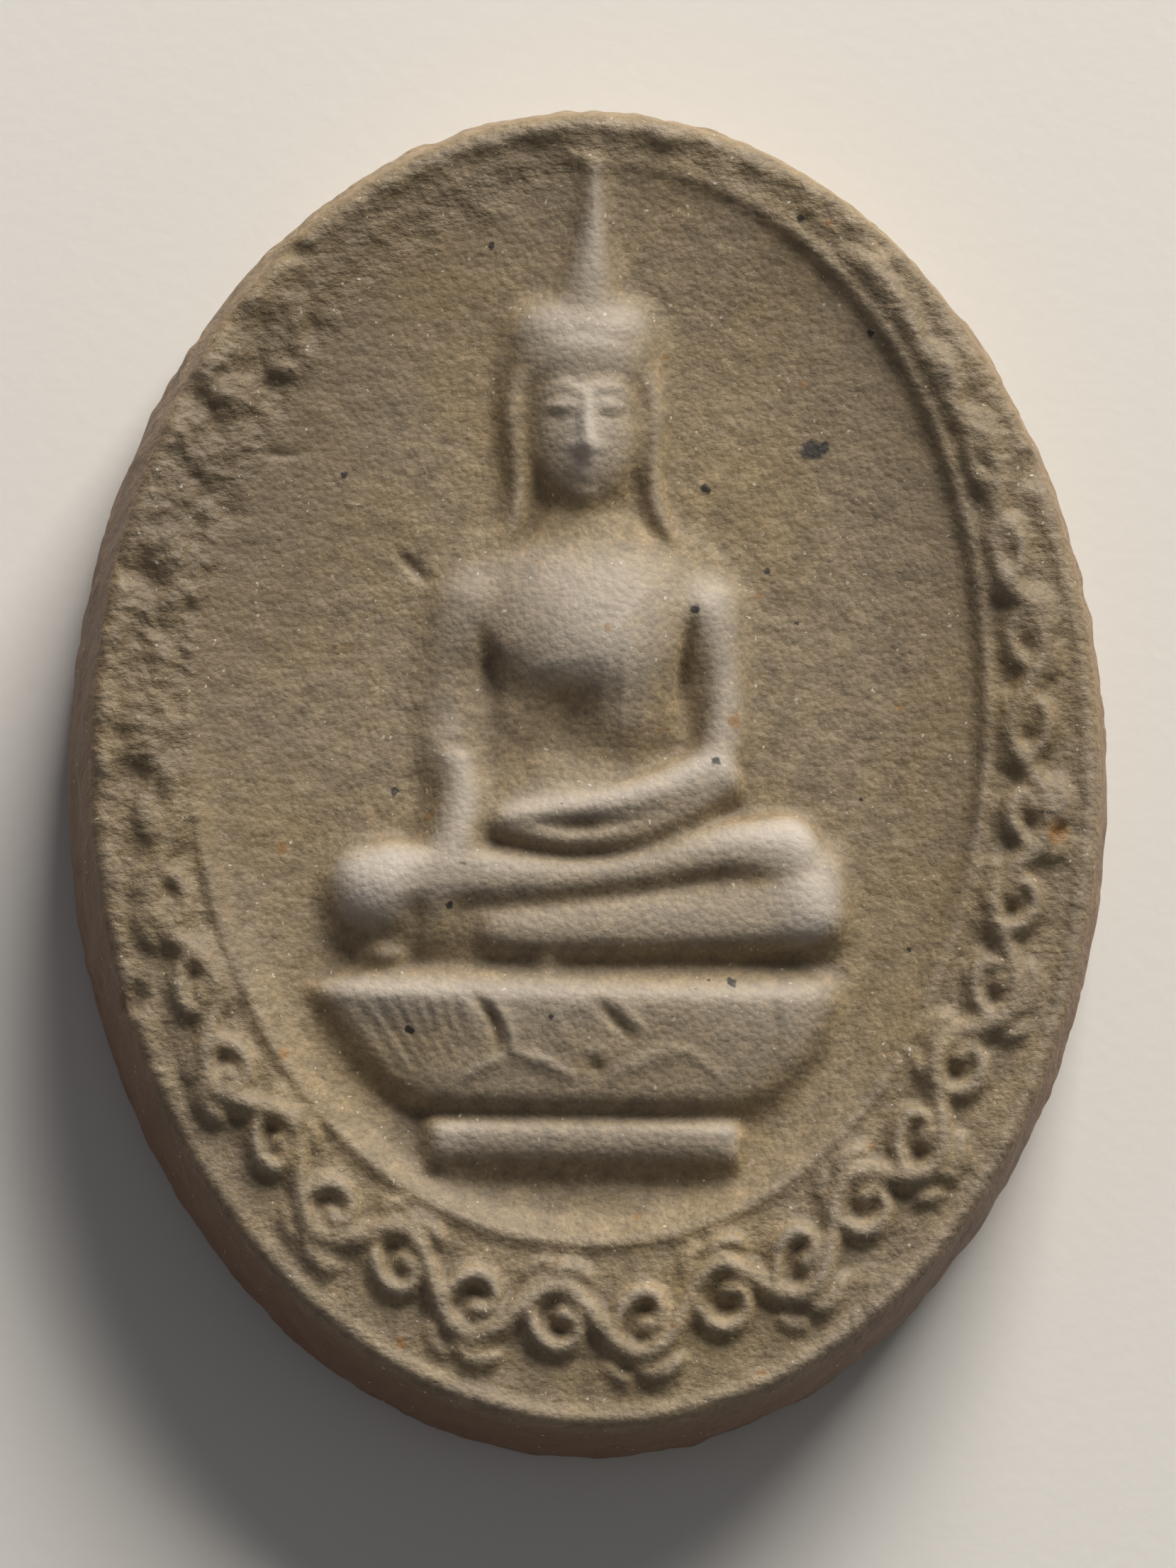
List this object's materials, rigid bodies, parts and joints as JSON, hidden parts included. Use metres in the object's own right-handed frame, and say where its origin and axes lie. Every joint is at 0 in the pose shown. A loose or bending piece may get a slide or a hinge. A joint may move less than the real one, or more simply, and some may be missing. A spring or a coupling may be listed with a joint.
{
  "type": "pressed clay amulet tablet",
  "caption": "Flat-backed oval clay tablet with a raised rim, a leafy scroll border and a seated figure in relief on a lotus pedestal.",
  "frame": {"origin": "middle of the flat back", "axes": "+Z out of the face, +Y towards the top of the figure's head, +X to the viewer's right"},
  "size_m": [0.0248, 0.032, 0.005],
  "materials": {
    "pressed_clay": "matt, sandy, low-fired clay with worn pale high spots and dark soil in the hollows"
  },
  "bodies": {
    "root": {"clay_tablet": "pressed_clay"}
  },
  "joints": []
}
